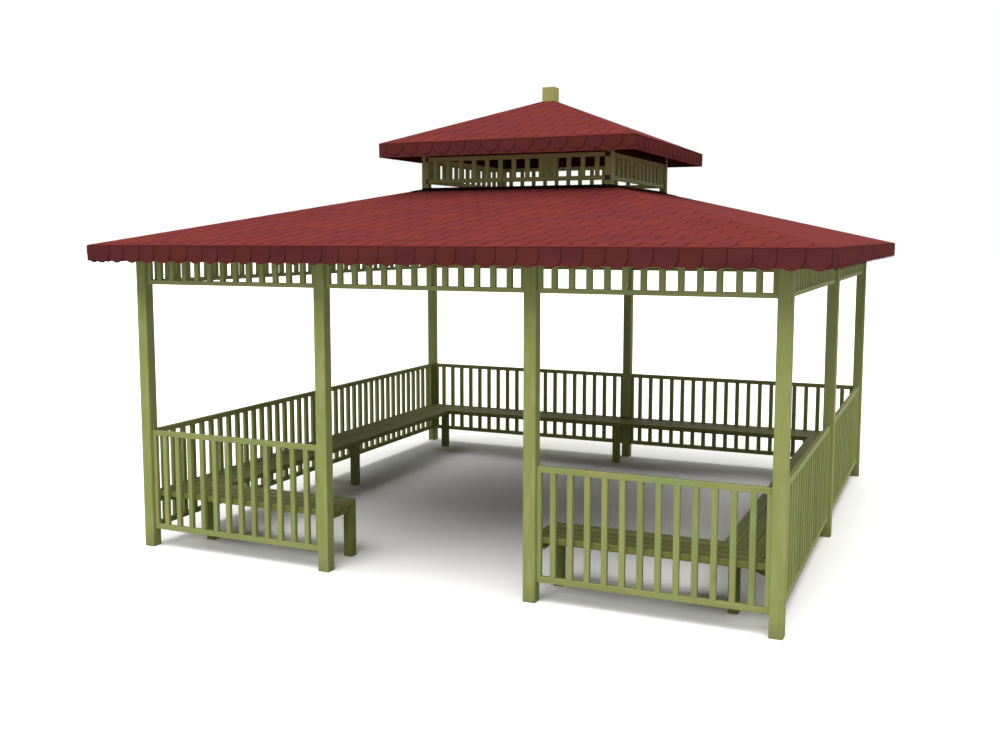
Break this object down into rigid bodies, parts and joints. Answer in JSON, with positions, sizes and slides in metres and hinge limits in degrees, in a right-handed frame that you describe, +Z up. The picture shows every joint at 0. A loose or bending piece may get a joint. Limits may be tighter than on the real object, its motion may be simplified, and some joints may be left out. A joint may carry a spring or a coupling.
{
  "type": "garden gazebo",
  "caption": "Open square timber garden gazebo with slatted railings and frieze, benches round the inside and a two-tier hipped shingle roof with a lantern.",
  "frame": {"origin": "on the ground in the middle of the plan", "axes": "+Z up, the open entrance faces -Y, +X to the right seen from the entrance side"},
  "size_m": [5.598, 5.598, 3.8448],
  "materials": {
    "green_timber": "stained softwood, satin",
    "bench_timber": "stained softwood, satin",
    "king_post_timber": "stained softwood, satin",
    "roof_timber": "dark stained softwood, matt",
    "roof_shingle": "roof boards under red mineral shingles, matt"
  },
  "bodies": {
    "root": {"bench_frames": "bench_timber", "frieze_back": "green_timber", "frieze_front": "green_timber", "frieze_left": "green_timber", "frieze_right": "green_timber", "king_post": "king_post_timber", "lantern_beam": "roof_timber", "lantern_curb": "green_timber", "lantern_frieze_back": "green_timber", "lantern_frieze_front": "green_timber", "lantern_frieze_left": "green_timber", "lantern_frieze_right": "green_timber", "lantern_posts": "green_timber", "lower_fascia": "roof_shingle", "lower_rafters": "roof_timber", "lower_roof_back": "roof_shingle", "lower_roof_front": "roof_shingle", "lower_roof_left": "roof_shingle", "lower_roof_right": "roof_shingle", "post_back_left": "green_timber", "post_back_middle": "green_timber", "post_back_right": "green_timber", "post_entrance_left": "green_timber", "post_entrance_right": "green_timber", "post_front_left": "green_timber", "post_front_right": "green_timber", "post_left_middle": "green_timber", "post_right_middle": "green_timber", "railing_back": "green_timber", "railing_front_left": "green_timber", "railing_front_right": "green_timber", "railing_left": "green_timber", "railing_right": "green_timber", "ring_beam": "green_timber", "seat_back": "bench_timber", "seat_front_left": "bench_timber", "seat_front_right": "bench_timber", "seat_left": "bench_timber", "seat_right": "bench_timber", "upper_fascia": "roof_shingle", "upper_rafters": "roof_timber", "upper_roof_back": "roof_shingle", "upper_roof_front": "roof_shingle", "upper_roof_left": "roof_shingle", "upper_roof_right": "roof_shingle"}
  },
  "joints": []
}
